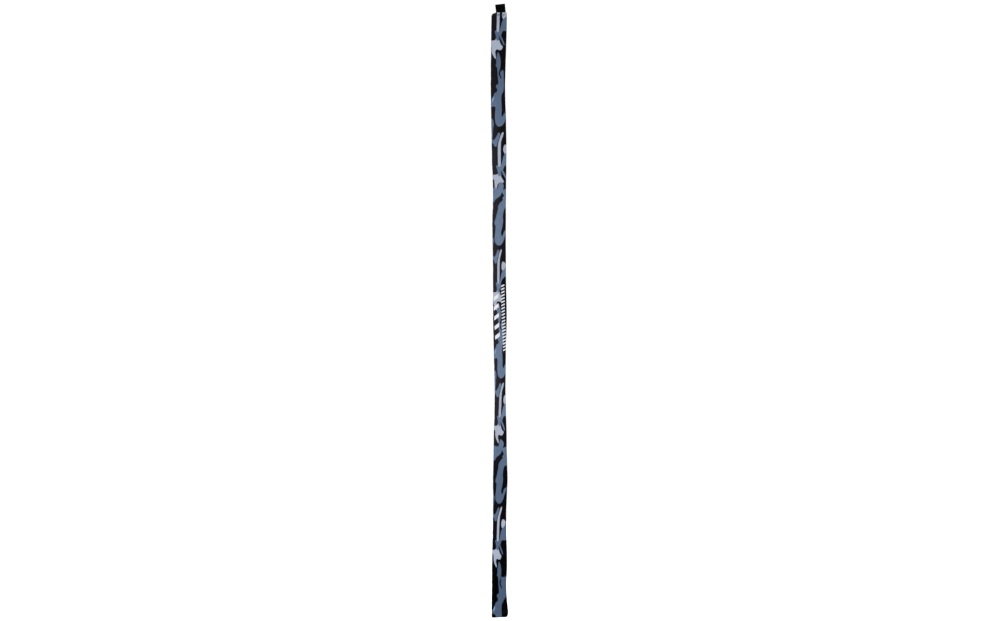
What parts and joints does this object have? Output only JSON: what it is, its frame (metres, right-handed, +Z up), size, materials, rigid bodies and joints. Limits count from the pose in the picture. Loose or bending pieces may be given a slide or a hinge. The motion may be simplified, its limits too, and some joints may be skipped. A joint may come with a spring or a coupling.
{
  "type": "fabric rod sleeve",
  "caption": "Slim printed fabric sleeve for a slender rod, closed at the top by a flat end seam with a webbing hang loop and open at the hemmed mouth.",
  "frame": {"origin": "the hang point: the inside of the loop's top, at the middle of the webbing", "axes": "+Z up along the hanging sleeve, +X across its width towards the folded edge, +Y towards its back; the printed front faces -Y"},
  "size_m": [0.0453, 0.0126, 1.5578],
  "materials": {
    "printed_fabric": "matt stretch knit, outside with a slate, pale grey and black camouflage print, inside plain charcoal",
    "webbing": "black ribbed webbing",
    "sewing_thread": "black polyester thread"
  },
  "bodies": {
    "loop": {"hang_loop": "webbing"},
    "sleeve": {"sleeve_body": "printed_fabric", "mouth_hem_fold": "printed_fabric", "side_seam_overlock": "sewing_thread", "mouth_hem_stitch_upper": "sewing_thread", "mouth_hem_stitch_lower": "sewing_thread", "end_seam_stitch_front": "sewing_thread", "end_seam_stitch_back": "sewing_thread", "bartack_left_front": "sewing_thread", "bartack_right_front": "sewing_thread", "bartack_left_back": "sewing_thread", "bartack_right_back": "sewing_thread", "loop_tails": "webbing"}
  },
  "joints": [
    {"name": "loop_bend", "type": "hinge", "parent": "loop", "child": "sleeve", "pos_m": [0.002, 0, -0.0169], "axis": [1, 0, 0], "range_deg": [-120, 120]}
  ]
}
